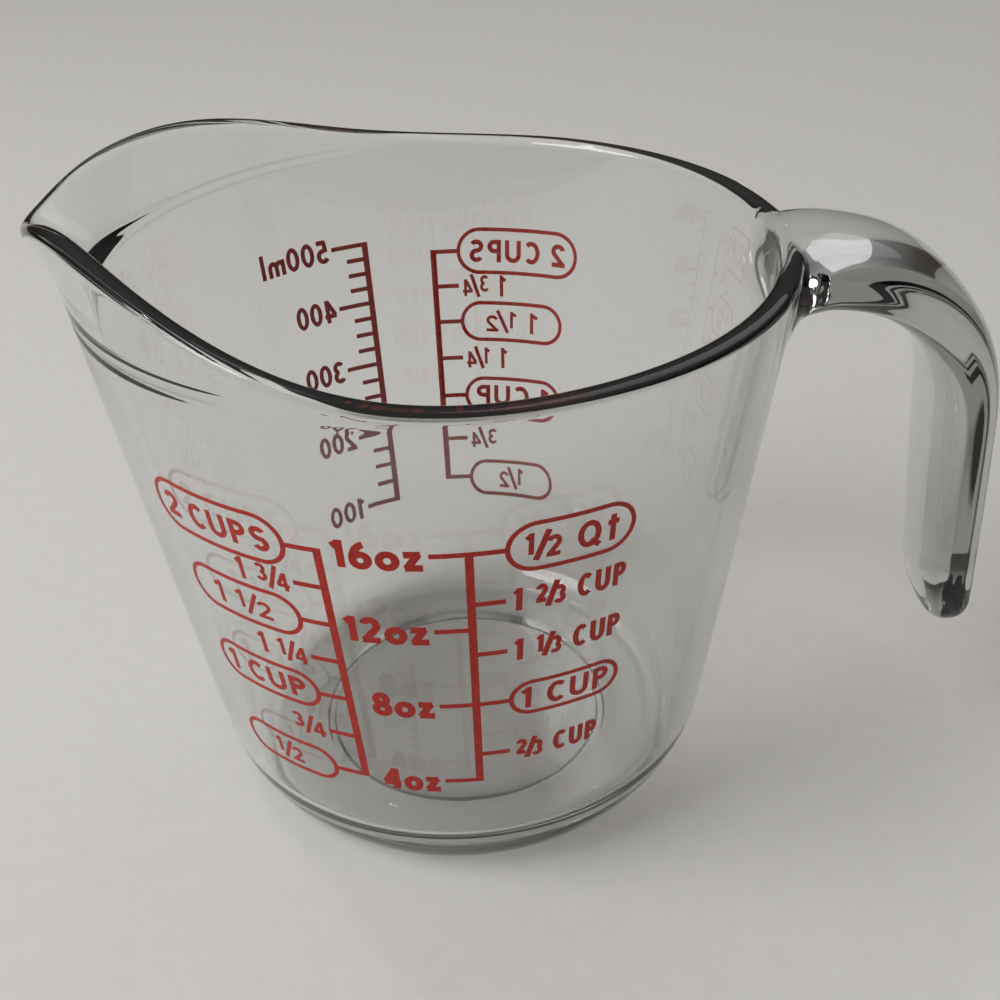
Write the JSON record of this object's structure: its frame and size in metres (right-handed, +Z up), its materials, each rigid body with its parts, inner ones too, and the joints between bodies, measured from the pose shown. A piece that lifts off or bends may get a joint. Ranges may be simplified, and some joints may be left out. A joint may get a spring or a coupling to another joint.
{
  "type": "measuring jug",
  "caption": "Clear pressed-glass measuring jug with a flared pouring spout, an open-ended strap handle and red enamel volume scales.",
  "frame": {"origin": "bowl's axis on the plane the jug stands on", "axes": "+Z up along the bowl's axis, +X towards the handle, -X towards the spout"},
  "size_m": [0.1613, 0.1176, 0.1112],
  "materials": {
    "clear_glass": "fire-polished, clear with a faint grey tint",
    "red_enamel": "fired screen print, semi-gloss"
  },
  "bodies": {
    "root": {"back_cups_capsules": "red_enamel", "back_cups_label_cup_1_1_2": "red_enamel", "back_cups_label_cup_1_1_4": "red_enamel", "back_cups_label_cup_1_3_4": "red_enamel", "back_cups_label_cup_3_4": "red_enamel", "back_cups_label_half_cup": "red_enamel", "back_cups_label_one_cup": "red_enamel", "back_cups_label_two_cups": "red_enamel", "back_cups_rule": "red_enamel", "front_cups_capsules": "red_enamel", "front_cups_label_cup_1_1_2": "red_enamel", "front_cups_label_cup_1_1_4": "red_enamel", "front_cups_label_cup_1_3_4": "red_enamel", "front_cups_label_cup_3_4": "red_enamel", "front_cups_label_half_cup": "red_enamel", "front_cups_label_one_cup": "red_enamel", "front_cups_label_two_cups": "red_enamel", "front_cups_rule": "red_enamel", "glass_jug": "clear_glass", "millilitre_label_100": "red_enamel", "millilitre_label_200": "red_enamel", "millilitre_label_300": "red_enamel", "millilitre_label_400": "red_enamel", "millilitre_label_500": "red_enamel", "millilitre_rule": "red_enamel", "ounce_capsules": "red_enamel", "ounce_label_12": "red_enamel", "ounce_label_16": "red_enamel", "ounce_label_4": "red_enamel", "ounce_label_8": "red_enamel", "ounce_label_cup_1_1_3": "red_enamel", "ounce_label_cup_1_2_3": "red_enamel", "ounce_label_cup_2_3": "red_enamel", "ounce_label_half_quart": "red_enamel", "ounce_label_one_cup": "red_enamel", "ounce_rule": "red_enamel"}
  },
  "joints": []
}
